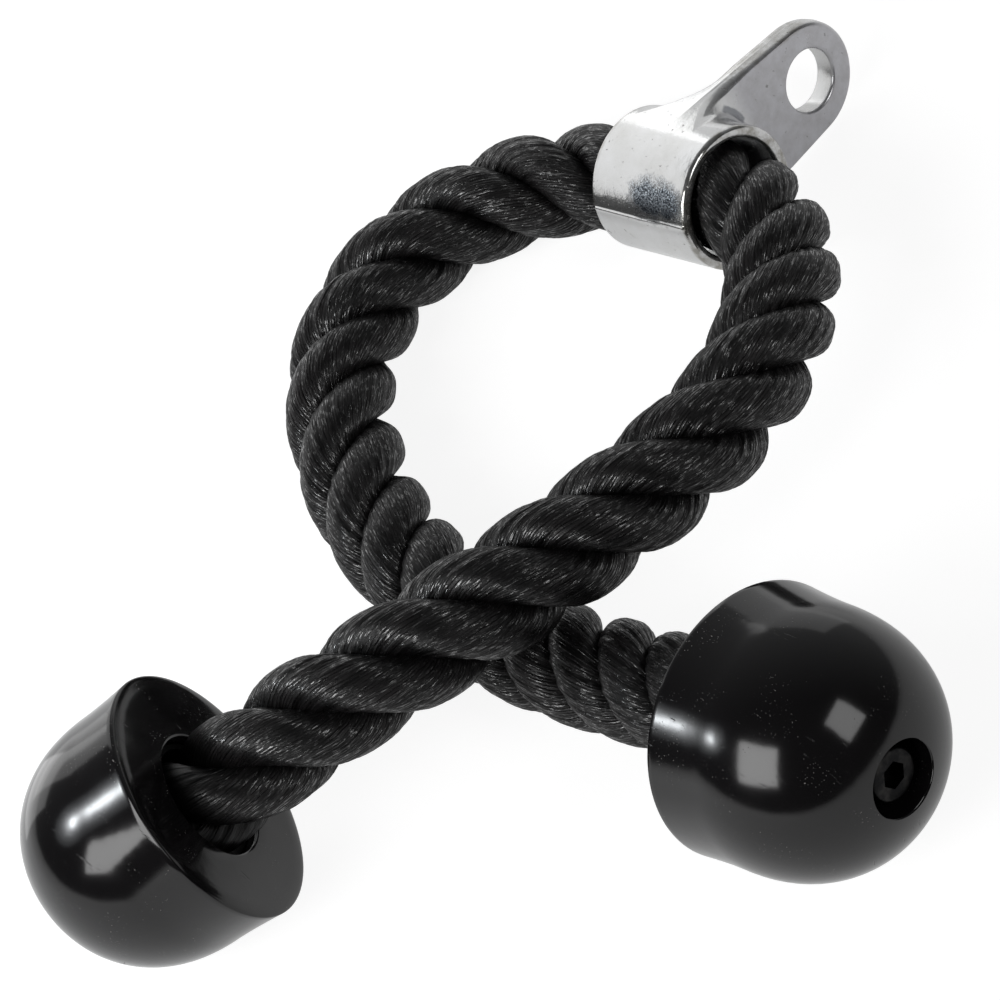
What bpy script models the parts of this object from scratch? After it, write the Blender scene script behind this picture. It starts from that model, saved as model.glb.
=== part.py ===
# Triceps rope attachment: a laid rope through a cast carrier, with a domed cap on each end.
# Metres, +Z up. The part lies on the plane Z = 0, and X = Y = 0 is the middle of its footprint.

from math import acos, atan2, cos, pi, radians, sin, sqrt

import bmesh
import bpy
import numpy as np
from mathutils import Matrix, Vector

# Running and seating gaps
SEAT_GAP = 0.0003
CUT_OVERRUN = 0.002
MERGE_DISTANCE = 0.00001

# Rope
ROPE_DIAMETER = 0.028
ROPE_POINT_SPACING = 0.0088
ROPE_SIDE_RESOLUTION = 4
ROPE_STRAIGHT_LEAD = 0.008

# Carrier barrel, which the rope runs through
BARREL_LENGTH = 0.036
BARREL_WALL = 0.00335
BARREL_ROPE_CLEARANCE = 0.00165
OUTER_RIM_ROUND_share = 0.36
INNER_RIM_ROUND_share = 0.48
BARREL_TILT = radians(11.08)

# Carrier tang, which ends in the eye for the cable's snap hook
EYE_DISTANCE = 0.046
EYE_HOLE_DIAMETER = 0.017
EYE_WALL = 0.0072
EYE_CHAMFER = 0.0008
TANG_THICKNESS = 0.0067
TANG_EDGE_ROUND = 0.002
BACK_FLARE_HEIGHT = 0.009
BACK_FLARE_LAND = 0.001
FRONT_FILLET = 0.006
LOW_EDGE_ROUND = 0.0045
LOW_EDGE_REACH = 0.016
TANG_ROLL = radians(-7.27)
CARRIER_PLACE = (-0.0748, 0.0975)

# Where the bowed rope lies in the barrel, as shares of its clearance
ROPE_BOW_AT_MIDDLE_share = 0.6
ROPE_BOW_AT_MOUTH_share = -0.7
ROPE_SAG_share = -0.25

# End caps
CAP_DIAMETER = 0.0666
CAP_SKIRT = 0.0154
CAP_SKIRT_FLARE = 0.0009
SKIRT_HOLLOW_share = 1.6
CAP_DOME_HEIGHT = 0.0341
DOME_FULLNESS_share = 0.9
CAP_MOUTH_ROUND = 0.0046
CAP_MOUTH_FALL = 0.0008
CAP_BORE_DEPTH = 0.025
CAP_BORE_EDGE_ROUND = 0.001
CAP_WEB = 0.008
COUNTERBORE_CLEARANCE = 0.001
COUNTERBORE_CHAMFER = 0.0005
SCREW_HOLE_CLEARANCE = 0.0005

# Ferrules crimped on the rope's ends
FERRULE_WALL = 0.0014
FERRULE_END = 0.008
FERRULE_SETBACK = 0.003

# Screws and washers
SCREW_DIAMETER = 0.008
SCREW_TIP_SETBACK = 0.0008
SCREW_TIP_CHAMFER = 0.0008
HEAD_DIAMETER = 0.013
HEAD_HEIGHT = 0.008
HEAD_CHAMFER = 0.0005
SOCKET_FLATS = 0.006
SOCKET_DEPTH = 0.004
WASHER_DIAMETER = 0.016
WASHER_THICKNESS = 0.0016
SPRING_WASHER_DIAMETER = 0.014
SPRING_WASHER_THICKNESS = 0.002
SPRING_WASHER_SLOT = 0.0015

# Where each cap's mouth lies on the plan, the heading of its dome, and its dome's rise
CAP_PLACES = {
    "left": ((-0.0565, -0.1126), radians(-129.47), radians(-19.93)),
    "right": ((0.0501, -0.0322), radians(-0.71), radians(10.85)),
}

# The rope's route, chosen point by point: from the right cap, under the crossing, to the carrier
LOWER_ARM_ROUTE = (
    (0.0225, -0.0325, 0.0248),
    (0.0020, -0.0330, 0.0188),
    (-0.0190, -0.0340, 0.0152),
    (-0.0405, -0.0340, 0.0145),
    (-0.0620, -0.0315, 0.0145),
    (-0.0824, -0.0257, 0.0145),
    (-0.1016, -0.0163, 0.0145),
    (-0.1187, -0.0042, 0.0145),
    (-0.1330, 0.0117, 0.0145),
    (-0.1410, 0.0319, 0.0145),
    (-0.1411, 0.0530, 0.0147),
    (-0.1321, 0.0724, 0.0150),
    (-0.1172, 0.0862, 0.0162),
)

# From the carrier, over the crossing, to the left cap
UPPER_ARM_ROUTE = (
    (-0.0451, 0.0929, 0.0277),
    (-0.0280, 0.0810, 0.0310),
    (-0.0160, 0.0645, 0.0340),
    (-0.0088, 0.0451, 0.0362),
    (-0.0066, 0.0247, 0.0390),
    (-0.0091, 0.0044, 0.0417),
    (-0.0138, -0.0158, 0.0437),
    (-0.0195, -0.0357, 0.0459),
    (-0.0262, -0.0552, 0.0475),
    (-0.0341, -0.0745, 0.0475),
    (-0.0440, -0.0925, 0.0447),
)

# Fineness of the turned and lofted surfaces
CAP_SIDES = 48
SMALL_SIDES = 24
FERRULE_SIDES = 36
DOME_STEPS = 11
SKIRT_STEPS = 4
ROUND_STEPS = 3
SEARCH_STEPS = 24
EYE_ARC_STEPS = 18
FLANK_STEPS = 9
BACK_STEPS = 26
FLARE_STEPS = 6
PLATE_STEPS = 2

# Sizes that follow from the ones above
ROPE_RADIUS = ROPE_DIAMETER / 2
BORE_RADIUS = ROPE_RADIUS + BARREL_ROPE_CLEARANCE
BARREL_RADIUS = BORE_RADIUS + BARREL_WALL
EYE_HOLE_RADIUS = EYE_HOLE_DIAMETER / 2
EYE_RADIUS = EYE_HOLE_RADIUS + EYE_WALL
OUTER_RIM_ROUND = BARREL_WALL * OUTER_RIM_ROUND_share
INNER_RIM_ROUND = BARREL_WALL * INNER_RIM_ROUND_share
BACK_FLARE_REACH = (BARREL_LENGTH - TANG_THICKNESS) / 2 - OUTER_RIM_ROUND - BACK_FLARE_LAND
SCREW_RADIUS = SCREW_DIAMETER / 2
FERRULE_BORE_RADIUS = ROPE_RADIUS + SEAT_GAP
FERRULE_RADIUS = FERRULE_BORE_RADIUS + FERRULE_WALL
CAP_RADIUS = CAP_DIAMETER / 2
DOME_RADIUS = CAP_RADIUS - CAP_SKIRT_FLARE
CAP_BORE_RADIUS = FERRULE_RADIUS + SEAT_GAP
COUNTERBORE_RADIUS = WASHER_DIAMETER / 2 + COUNTERBORE_CLEARANCE
COUNTERBORE_FLOOR = CAP_BORE_DEPTH + CAP_WEB
FERRULE_END_FACE = CAP_BORE_DEPTH - SEAT_GAP
FERRULE_FLOOR = FERRULE_END_FACE - FERRULE_END
ROPE_END_DEPTH = FERRULE_FLOOR - SEAT_GAP
WASHER_SEAT = COUNTERBORE_FLOOR + SEAT_GAP
SPRING_WASHER_SEAT = WASHER_SEAT + WASHER_THICKNESS + SEAT_GAP
HEAD_SEAT = SPRING_WASHER_SEAT + SPRING_WASHER_THICKNESS + SEAT_GAP
SCREW_TIP = FERRULE_FLOOR + SCREW_TIP_SETBACK


def clear_scene():
    for item in list(bpy.data.objects):
        bpy.data.objects.remove(item, do_unlink=True)


def make_material(name, color, roughness, metallic):
    material = bpy.data.materials.new(name)
    material.use_nodes = True
    shader = material.node_tree.nodes["Principled BSDF"]
    shader.inputs["Base Color"].default_value = (*color, 1)
    shader.inputs["Roughness"].default_value = roughness
    shader.inputs["Metallic"].default_value = metallic
    return material


def make_object(name, data, material, parent=None):
    item = bpy.data.objects.new(name, data)
    bpy.context.scene.collection.objects.link(item)
    if material:
        data.materials.append(material)
    item.parent = parent
    return item


def finish_mesh(bm, name):
    # Points that coincide, such as those on the axis, become one, and the faces point out
    bmesh.ops.remove_doubles(bm, verts=bm.verts, dist=MERGE_DISTANCE)
    bmesh.ops.recalc_face_normals(bm, faces=bm.faces)
    mesh = bpy.data.meshes.new(name)
    bm.to_mesh(mesh)
    bm.free()
    mesh.shade_smooth()
    mesh.set_sharp_from_angle(angle=radians(35))
    return mesh


def arc(center, radius, start, end, steps=ROUND_STEPS):
    # Points of a circular arc in the outline plane, by angle from the X axis
    angles = [start + (end - start) * step / steps for step in range(steps + 1)]
    return [(center[0] + radius * cos(angle), center[1] + radius * sin(angle)) for angle in angles]


def turned(name, outline, sides):
    # A closed outline of (along the axis, distance from it), turned about the X axis
    bm = bmesh.new()
    corners = [bm.verts.new((along, 0, out)) for along, out in outline]
    edges = [bm.edges.new((a, b)) for a, b in zip(corners, corners[1:] + corners[:1])]
    edges = [edge for edge in edges if any(corner.co.z > MERGE_DISTANCE for corner in edge.verts)]
    bmesh.ops.spin(bm, geom=edges, cent=(0, 0, 0), axis=(1, 0, 0), angle=2 * pi, steps=sides,
                   use_duplicate=False)
    loose = [edge for edge in bm.edges if not edge.link_faces]
    bmesh.ops.delete(bm, geom=loose, context="EDGES")
    return finish_mesh(bm, name)


def hide_cutter(cutter):
    cutter.hide_render = True
    cutter.display_type = "WIRE"


def cut(item, cutter, name):
    boolean = item.modifiers.new(name, "BOOLEAN")
    boolean.operation = "DIFFERENCE"
    boolean.object = cutter


# Carrier

def tang_outline_radius(angle):
    # Distance from the barrel's axis to the teardrop outline, by angle from the tang's middle
    touch = acos((BARREL_RADIUS - EYE_RADIUS) / EYE_DISTANCE)
    eye_edge = eye_arc_angle(touch)
    angle = abs(angle)
    if angle >= touch:
        return BARREL_RADIUS
    if angle >= eye_edge:
        return BARREL_RADIUS / cos(touch - angle)
    return EYE_DISTANCE * cos(angle) + sqrt(EYE_RADIUS ** 2 - (EYE_DISTANCE * sin(angle)) ** 2)


def eye_arc_angle(turn):
    # Angle seen from the barrel's axis of the point that lies at this turn round the eye
    return atan2(EYE_RADIUS * sin(turn), EYE_DISTANCE + EYE_RADIUS * cos(turn))


def carrier_angles():
    # The eye's arc, then a flank, the barrel's bare back and the other flank
    touch = acos((BARREL_RADIUS - EYE_RADIUS) / EYE_DISTANCE)
    eye_edge = eye_arc_angle(touch)
    angles = [eye_arc_angle(touch * (2 * step / EYE_ARC_STEPS - 1)) for step in range(EYE_ARC_STEPS)]
    angles += [eye_edge + (touch - eye_edge) * step / FLANK_STEPS for step in range(FLANK_STEPS)]
    bare = 2 * (pi - touch)
    angles += [touch + bare * step / BACK_STEPS for step in range(BACK_STEPS)]
    angles += [-touch + (touch - eye_edge) * step / FLANK_STEPS for step in range(FLANK_STEPS)]
    return angles


def flare_point(turn, reach, height):
    # A point of the quarter ellipse that sweeps up from the barrel, and its slope there
    point = (TANG_THICKNESS / 2 + reach * (1 - sin(turn)), height * (1 - cos(turn)))
    return point, atan2(height * sin(turn), reach * cos(turn))


def tang_side(rise, reach, height):
    # One side of the tang at one angle: its flare up from the barrel, its flat, its rounded edge.
    # Each point is (distance from the tang's mid-plane, height above the barrel)
    low_share = max(0, 1 - rise / LOW_EDGE_REACH)
    edge = TANG_EDGE_ROUND + (LOW_EDGE_ROUND - TANG_EDGE_ROUND) * low_share
    last = pi / 2
    if rise < height + edge:
        # Near the barrel the rounded edge starts on the flare, at the same slope
        lowest, highest = 0, pi / 2
        for _ in range(SEARCH_STEPS):
            last = (lowest + highest) / 2
            (_, up), slope = flare_point(last, reach, height)
            if up + edge * (1 - cos(slope)) > rise:
                highest = last
            else:
                lowest = last
    points = [flare_point(last * step / FLARE_STEPS, reach, height)[0] for step in range(FLARE_STEPS + 1)]
    half, low = points[-1]
    slope = flare_point(last, reach, height)[1]
    top = max(low, rise - edge * (1 - cos(slope)))
    for step in range(1, PLATE_STEPS + 1):
        points.append((half, low + (top - low) * step / PLATE_STEPS))
    center = (half - edge * sin(slope), top - edge * cos(slope))
    points += arc(center, edge, pi / 2 - slope, pi / 2)
    return points


def carrier_section(angle):
    # The closed section of barrel wall and tang at one angle, as (along, distance from the axis)
    half = BARREL_LENGTH / 2
    rise = tang_outline_radius(angle)
    if rise < BARREL_RADIUS + MERGE_DISTANCE:
        rise = BARREL_RADIUS
    rise -= BARREL_RADIUS
    rim = arc((half - INNER_RIM_ROUND, BORE_RADIUS + INNER_RIM_ROUND), INNER_RIM_ROUND, -pi / 2, 0)
    rim += arc((half - OUTER_RIM_ROUND, BARREL_RADIUS - OUTER_RIM_ROUND), OUTER_RIM_ROUND, 0, pi / 2)
    back = tang_side(rise, BACK_FLARE_REACH, BACK_FLARE_HEIGHT)
    front = tang_side(rise, FRONT_FILLET, FRONT_FILLET)
    section = [(0, BORE_RADIUS)]
    section += [(-along, out) for along, out in rim]
    section += [(-along, BARREL_RADIUS + out) for along, out in back]
    section += [(along, BARREL_RADIUS + out) for along, out in reversed(front)]
    section += list(reversed(rim))
    return section


def carrier_mesh():
    # Sections at every angle round the barrel, skinned into one closed casting
    bm = bmesh.new()
    rings = []
    for angle in carrier_angles():
        section = carrier_section(angle)
        rings.append([bm.verts.new((along, out * cos(angle), out * sin(angle))) for along, out in section])
    for ring, following in zip(rings, rings[1:] + rings[:1]):
        count = len(ring)
        for index in range(count):
            after = (index + 1) % count
            bm.faces.new((ring[index], ring[after], following[after], following[index]))
    bmesh.ops.remove_doubles(bm, verts=bm.verts, dist=MERGE_DISTANCE)
    bmesh.ops.dissolve_degenerate(bm, edges=bm.edges, dist=MERGE_DISTANCE)
    return finish_mesh(bm, "carrier")


def eye_cutter_mesh():
    half = TANG_THICKNESS / 2
    wide = EYE_HOLE_RADIUS + EYE_CHAMFER + CUT_OVERRUN
    end = half + CUT_OVERRUN
    outline = [(-end, 0), (-end, wide), (EYE_CHAMFER - half, EYE_HOLE_RADIUS),
               (half - EYE_CHAMFER, EYE_HOLE_RADIUS), (end, wide), (end, 0)]
    return turned("eye_cutter", outline, SMALL_SIDES + SMALL_SIDES // 2)


def carrier_rest_height():
    # The carrier leans on the low rim of its barrel
    along = (BARREL_LENGTH / 2 - OUTER_RIM_ROUND) * sin(BARREL_TILT)
    return along + (BARREL_RADIUS - OUTER_RIM_ROUND) * cos(BARREL_TILT) + OUTER_RIM_ROUND


def carrier_matrix():
    # Local X is the barrel's axis, which the carrier swivels on, and local Y the tang's direction
    turn = Matrix.Rotation(-BARREL_TILT, 4, "Y") @ Matrix.Rotation(TANG_ROLL, 4, "X")
    return Matrix.Translation((*CARRIER_PLACE, carrier_rest_height())) @ turn


def make_carrier(material):
    carrier = make_object("carrier", carrier_mesh(), material)
    carrier.matrix_world = carrier_matrix()
    cutter = make_object("eye_cutter", eye_cutter_mesh(), None, carrier)
    cutter.location = (0, EYE_DISTANCE, 0)
    hide_cutter(cutter)
    cut(carrier, cutter, "eye_hole")


# End caps and what holds them

def cap_outside():
    # Mouth edge, flared skirt and full dome, as (along the axis, distance from it)
    edge_radius = COUNTERBORE_RADIUS + COUNTERBORE_CHAMFER
    last = acos((edge_radius / DOME_RADIUS) ** (1 / DOME_FULLNESS_share))
    outline = []
    for step in range(ROUND_STEPS + 2):
        turn = pi / 2 * step / (ROUND_STEPS + 1)
        outline.append((CAP_MOUTH_FALL * (1 - cos(turn)), CAP_RADIUS - CAP_MOUTH_ROUND * (1 - sin(turn))))
    for step in range(1, SKIRT_STEPS + 1):
        share = step / SKIRT_STEPS
        along = CAP_MOUTH_FALL + (CAP_SKIRT - CAP_MOUTH_FALL) * share
        outline.append((along, DOME_RADIUS + CAP_SKIRT_FLARE * (1 - share) ** SKIRT_HOLLOW_share))
    for step in range(1, DOME_STEPS + 1):
        turn = last * step / DOME_STEPS
        along = CAP_SKIRT + CAP_DOME_HEIGHT * sin(turn) ** DOME_FULLNESS_share
        outline.append((along, DOME_RADIUS * cos(turn) ** DOME_FULLNESS_share))
    return outline


def cap_rest_height(rise):
    # The mouth's middle stands this high when the cap rests on its dome or its mouth's edge
    return max(out * cos(rise) - along * sin(rise) for along, out in cap_outside())


def cap_matrix(side):
    # Local X runs from the mouth's middle to the top of the dome
    place, heading, rise = CAP_PLACES[side]
    turn = Matrix.Rotation(heading, 4, "Z") @ Matrix.Rotation(-rise, 4, "Y")
    return Matrix.Translation((*place, cap_rest_height(rise))) @ turn


def cap_mesh():
    # The outside, then counterbore, web with the screw's hole, and rope bore
    outline = cap_outside()
    rim = outline[-1][0]
    screw_hole = SCREW_RADIUS + SCREW_HOLE_CLEARANCE
    outline += [(rim - COUNTERBORE_CHAMFER, COUNTERBORE_RADIUS), (COUNTERBORE_FLOOR, COUNTERBORE_RADIUS),
                (COUNTERBORE_FLOOR, screw_hole), (CAP_BORE_DEPTH, screw_hole),
                (CAP_BORE_DEPTH, CAP_BORE_RADIUS)]
    corner = (CAP_BORE_EDGE_ROUND, CAP_BORE_RADIUS + CAP_BORE_EDGE_ROUND)
    outline += arc(corner, CAP_BORE_EDGE_ROUND, -pi / 2, -pi)
    return turned("end_cap", outline, CAP_SIDES)


def ferrule_mesh():
    # A cup over the rope's end, with the screw's hole in its thick floor
    hole = SCREW_RADIUS + SEAT_GAP
    outline = [(FERRULE_SETBACK, FERRULE_BORE_RADIUS), (FERRULE_SETBACK, FERRULE_RADIUS),
               (FERRULE_END_FACE, FERRULE_RADIUS), (FERRULE_END_FACE, hole), (FERRULE_FLOOR, hole),
               (FERRULE_FLOOR, FERRULE_BORE_RADIUS)]
    return turned("ferrule", outline, FERRULE_SIDES)


def screw_mesh():
    head = HEAD_DIAMETER / 2
    end = HEAD_SEAT + HEAD_HEIGHT
    outline = [(SCREW_TIP, 0), (SCREW_TIP, SCREW_RADIUS - SCREW_TIP_CHAMFER),
               (SCREW_TIP + SCREW_TIP_CHAMFER, SCREW_RADIUS), (HEAD_SEAT, SCREW_RADIUS),
               (HEAD_SEAT, head), (end - HEAD_CHAMFER, head), (end, head - HEAD_CHAMFER), (end, 0)]
    return turned("cap_screw", outline, SMALL_SIDES)


def hex_cutter_mesh():
    bm = bmesh.new()
    depth = SOCKET_DEPTH + CUT_OVERRUN
    middle = HEAD_SEAT + HEAD_HEIGHT - SOCKET_DEPTH + depth / 2
    across_corners = SOCKET_FLATS / cos(pi / 6)
    bmesh.ops.create_cone(bm, cap_ends=True, segments=6, radius1=across_corners / 2,
                          radius2=across_corners / 2, depth=depth)
    place = Matrix.Translation((middle, 0, 0)) @ Matrix.Rotation(pi / 2, 4, "Y")
    bmesh.ops.transform(bm, matrix=place, verts=bm.verts)
    return finish_mesh(bm, "socket_cutter")


def ring_outline(start, thickness, inner, outer):
    return [(start, inner), (start, outer), (start + thickness, outer), (start + thickness, inner)]


def washer_mesh():
    hole = SCREW_RADIUS + SEAT_GAP
    outline = ring_outline(WASHER_SEAT, WASHER_THICKNESS, hole, WASHER_DIAMETER / 2)
    return turned("flat_washer", outline, SMALL_SIDES)


def spring_washer_mesh():
    # A square-section ring with a slot, drawn as it lies when tightened flat
    hole = SCREW_RADIUS + SEAT_GAP
    outer = SPRING_WASHER_DIAMETER / 2
    slot = SPRING_WASHER_SLOT / outer
    bm = bmesh.new()
    outline = ring_outline(SPRING_WASHER_SEAT, SPRING_WASHER_THICKNESS, hole, outer)
    face = bm.faces.new([bm.verts.new((along, 0, out)) for along, out in outline])
    bmesh.ops.spin(bm, geom=[face, *face.edges, *face.verts], cent=(0, 0, 0), axis=(1, 0, 0),
                   angle=2 * pi - slot, steps=SMALL_SIDES, use_duplicate=False)
    return finish_mesh(bm, "spring_washer")


def make_cap(side, materials):
    frame = make_object(f"{side}_cap_frame", None, None)
    frame.matrix_world = cap_matrix(side)
    make_object(f"{side}_end_cap", cap_mesh(), materials["cap"], frame)
    make_object(f"{side}_ferrule", ferrule_mesh(), materials["ferrule"], frame)
    make_object(f"{side}_flat_washer", washer_mesh(), materials["hardware"], frame)
    make_object(f"{side}_spring_washer", spring_washer_mesh(), materials["hardware"], frame)
    screw = make_object(f"{side}_cap_screw", screw_mesh(), materials["hardware"], frame)
    cutter = make_object(f"{side}_socket_cutter", hex_cutter_mesh(), None, frame)
    hide_cutter(cutter)
    cut(screw, cutter, "hex_socket")


# Rope

def cap_route(side):
    # From the rope's end in the ferrule straight out of the cap's mouth
    matrix = cap_matrix(side)
    depths = (ROPE_END_DEPTH, ROPE_END_DEPTH / 2, 0, -ROPE_STRAIGHT_LEAD)
    return [matrix @ Vector((depth, 0, 0)) for depth in depths]


def barrel_route():
    # Through the barrel from its low mouth to its high one, bowed within the clearance
    matrix = carrier_matrix()
    half = BARREL_LENGTH / 2
    points = []
    for along, bow in ((-half, ROPE_BOW_AT_MOUTH_share), (0, ROPE_BOW_AT_MIDDLE_share),
                       (half, ROPE_BOW_AT_MOUTH_share)):
        place = (along, bow * BARREL_ROPE_CLEARANCE, ROPE_SAG_share * BARREL_ROPE_CLEARANCE)
        points.append(matrix @ Vector(place))
    return points


def smooth_path(route, spacing):
    # A natural cubic spline through the route, read at even steps along its length
    knots = np.array([tuple(point) for point in route])
    count = len(knots)
    gaps = np.linalg.norm(np.diff(knots, axis=0), axis=1)
    stations = np.concatenate(([0], np.cumsum(gaps)))
    matrix = np.eye(count)
    right = np.zeros((count, 3))
    for index in range(1, count - 1):
        before, after = gaps[index - 1], gaps[index]
        matrix[index, index - 1:index + 2] = (before, 2 * (before + after), after)
        slope_after = (knots[index + 1] - knots[index]) / after
        slope_before = (knots[index] - knots[index - 1]) / before
        right[index] = 6 * (slope_after - slope_before)
    bends = np.linalg.solve(matrix, right)

    def read(places):
        span = np.clip(np.searchsorted(stations, places) - 1, 0, count - 2)
        to_end = (stations[span + 1] - places)[:, None]
        from_start = (places - stations[span])[:, None]
        gap = gaps[span][:, None]
        cubic = (bends[span] * to_end ** 3 + bends[span + 1] * from_start ** 3) / (6 * gap)
        start = (knots[span] / gap - bends[span] * gap / 6) * to_end
        end = (knots[span + 1] / gap - bends[span + 1] * gap / 6) * from_start
        return cubic + start + end

    fine_places = np.linspace(0, stations[-1], 60 * count)
    fine = read(fine_places)
    lengths = np.concatenate(([0], np.cumsum(np.linalg.norm(np.diff(fine, axis=0), axis=1))))
    steps = round(lengths[-1] / spacing)
    even = np.linspace(0, lengths[-1], steps + 1)
    return read(np.interp(even, lengths, fine_places)), lengths[-1]


def make_rope(material):
    route = cap_route("right") + [Vector(point) for point in LOWER_ARM_ROUTE] + barrel_route()
    route += [Vector(point) for point in UPPER_ARM_ROUTE] + cap_route("left")[::-1]
    points, length = smooth_path(route, ROPE_POINT_SPACING)
    curve = bpy.data.curves.new("rope", "CURVE")
    curve.dimensions = "3D"
    curve.bevel_depth = ROPE_RADIUS
    curve.bevel_resolution = ROPE_SIDE_RESOLUTION
    curve.use_fill_caps = True
    spline = curve.splines.new("POLY")
    spline.points.add(len(points) - 1)
    for slot, point in zip(spline.points, points):
        slot.co = (*point, 1)
    make_object("rope", curve, material)
    print(f"rope {length:.4f} m from end to end, {len(points)} points")


def main():
    clear_scene()
    materials = {
        "cap": make_material("gloss_black_plastic", (0.006, 0.006, 0.007), 0.18, 0),
        "ferrule": make_material("crimped_steel", (0.04, 0.04, 0.041), 0.45, 1),
        "hardware": make_material("black_oxide_steel", (0.02, 0.02, 0.021), 0.4, 1),
    }
    make_carrier(make_material("bright_zinc_plate", (0.62, 0.63, 0.65), 0.25, 1))
    make_rope(make_material("black_rope_fibre", (0.012, 0.012, 0.013), 0.55, 0))
    for side in CAP_PLACES:
        make_cap(side, materials)
    bpy.context.view_layer.update()


main()
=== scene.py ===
from math import acos, atan2, cos, pi, radians, sin, sqrt

import bmesh
import bpy
import numpy as np
from mathutils import Matrix, Vector


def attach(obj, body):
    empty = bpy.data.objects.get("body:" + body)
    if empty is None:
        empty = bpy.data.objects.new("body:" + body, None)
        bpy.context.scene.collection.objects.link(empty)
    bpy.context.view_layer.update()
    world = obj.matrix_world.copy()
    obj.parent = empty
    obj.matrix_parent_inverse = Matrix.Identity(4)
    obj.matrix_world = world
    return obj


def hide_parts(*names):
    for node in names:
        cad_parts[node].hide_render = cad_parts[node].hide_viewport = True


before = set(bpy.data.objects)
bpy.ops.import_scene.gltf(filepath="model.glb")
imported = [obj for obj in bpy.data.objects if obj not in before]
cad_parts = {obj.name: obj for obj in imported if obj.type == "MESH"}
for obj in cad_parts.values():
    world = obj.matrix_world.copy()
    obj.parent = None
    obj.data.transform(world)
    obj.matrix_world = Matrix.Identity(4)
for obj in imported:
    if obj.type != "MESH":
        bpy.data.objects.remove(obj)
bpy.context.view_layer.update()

print("frame loaded")

# Camera

cameraView = {
    "place": (0.54522, -0.31001, 0.75952),
    "heading": 153.20,      # degrees on the plan that it looks along
    "down": 47.5,           # degrees below level
    "roll": 30.42,
    "lens": 144,
    "sensor": 36,
}


def makeCamera():
    heading = radians(cameraView["heading"])
    down = radians(cameraView["down"])
    roll = radians(cameraView["roll"])
    right = Vector((sin(heading), -cos(heading), 0))
    up = Vector((sin(down) * cos(heading), sin(down) * sin(heading), cos(down)))
    turnedUp = up * cos(roll) + right * sin(roll)
    turnedRight = right * cos(roll) - up * sin(roll)
    back = turnedRight.cross(turnedUp)
    data = bpy.data.cameras.new("camera")
    data.lens = cameraView["lens"]
    data.sensor_width = cameraView["sensor"]
    data.clip_start = 0.01
    camera = bpy.data.objects.new("camera", data)
    bpy.context.scene.collection.objects.link(camera)
    turn = Matrix((turnedRight, turnedUp, back)).transposed().to_4x4()
    camera.matrix_world = Matrix.Translation(cameraView["place"]) @ turn
    bpy.context.scene.camera = camera


makeCamera()
print("camera placed")

# Sizes and places shared with the CAD, in metres

capSize = {
    "mouth": 0.0333, "waist": 0.0324, "skirt": 0.0154, "hollow": 1.6,
    "dome": 0.0341, "fullness": 0.9, "mouthRound": 0.0046, "mouthFall": 0.0008,
    "boreRadius": 0.016, "boreDepth": 0.025, "boreRound": 0.001,
    "counterbore": 0.009, "counterboreRound": 0.0005, "counterboreFloor": 0.033,
    "screwHole": 0.0045, "floorBevel": 0.0003,
    "mouthSteps": 18, "skirtSteps": 12, "domeSteps": 48, "turns": 128,
}

capPlaces = {       # mouth on the plan, heading, rise of the dome's axis
    "left": ((-0.0565, -0.1126), -129.47, -19.93),
    "right": ((0.0501, -0.0322), -0.71, 10.85),
}

carrierSize = {
    "place": (-0.0748, 0.0975, 0.0218958), "tilt": 11.08, "roll": -7.27,
    "length": 0.036, "bore": 0.01565, "barrel": 0.019,
    "innerRim": 0.0016, "outerRim": 0.0012,
    "eyeOut": 0.046, "eyeHole": 0.0085, "eye": 0.0157, "eyeRound": 0.0009, "cutOverrun": 0.002,
    "tang": 0.0067, "tangEdge": 0.002, "lowEdge": 0.0045, "lowReach": 0.016,
    "backReach": 0.0133, "backHeight": 0.009, "frontFillet": 0.006,
    "midRidge": 0.00016, "midRidgeWidth": 0.0012, "midRidgeFrom": 0.004,
    "midRidgePlaces": (-0.00045, -0.0002, 0, 0.0002, 0.00045),
    "seamAngle": 167, "seamRise": 0.0004, "seamWidth": 0.00045,
    # Waves in the mould line's course, in degrees, and in its height: size, length and start
    "seamWander": ((0.9, 0.0043, 1), (0.5, 0.0017, 0)),
    "seamUneven": ((0.3, 0.0023, 0), (0.2, 0.00091, 2)), "seamMean": 0.75,
    "eyeSteps": 36, "sideSteps": 26, "bareSteps": 80,       # sections round the casting
    "seamSteps": 15, "seamStep": 0.3, "seamRoom": 5.2,      # finer ones at the mould line, in degrees
    "flareSteps": 18, "flatSteps": 6, "edgeSteps": 7, "rimSteps": 8,
}


def capOutside():
    # Mouth edge, flared skirt and full dome, as (along the axis, distance from it)
    s = capSize
    rim = s["counterbore"] + s["counterboreRound"]
    last = acos((rim / s["waist"]) ** (1 / s["fullness"]))
    outline = []
    for step in range(s["mouthSteps"] + 1):
        turn = pi / 2 * step / s["mouthSteps"]
        fall = s["mouthFall"] * (1 - cos(turn))
        outline.append((fall, s["mouth"] - s["mouthRound"] * (1 - sin(turn))))
    for step in range(1, s["skirtSteps"] + 1):
        share = step / s["skirtSteps"]
        flare = (s["mouth"] - s["waist"]) * (1 - share) ** s["hollow"]
        outline.append((s["mouthFall"] + (s["skirt"] - s["mouthFall"]) * share, s["waist"] + flare))
    for step in range(1, s["domeSteps"] + 1):
        turn = last * step / s["domeSteps"]
        along = s["skirt"] + s["dome"] * sin(turn) ** s["fullness"]
        outline.append((along, s["waist"] * cos(turn) ** s["fullness"]))
    return outline


def capMatrix(side):
    # Local X runs from the mouth's middle to the top of the dome, and the cap lies on the floor
    place, heading, rise = capPlaces[side]
    rise = radians(rise)
    height = max(out * cos(rise) - along * sin(rise) for along, out in capOutside())
    turn = Matrix.Rotation(radians(heading), 4, "Z") @ Matrix.Rotation(-rise, 4, "Y")
    return Matrix.Translation((*place, height)) @ turn


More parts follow.
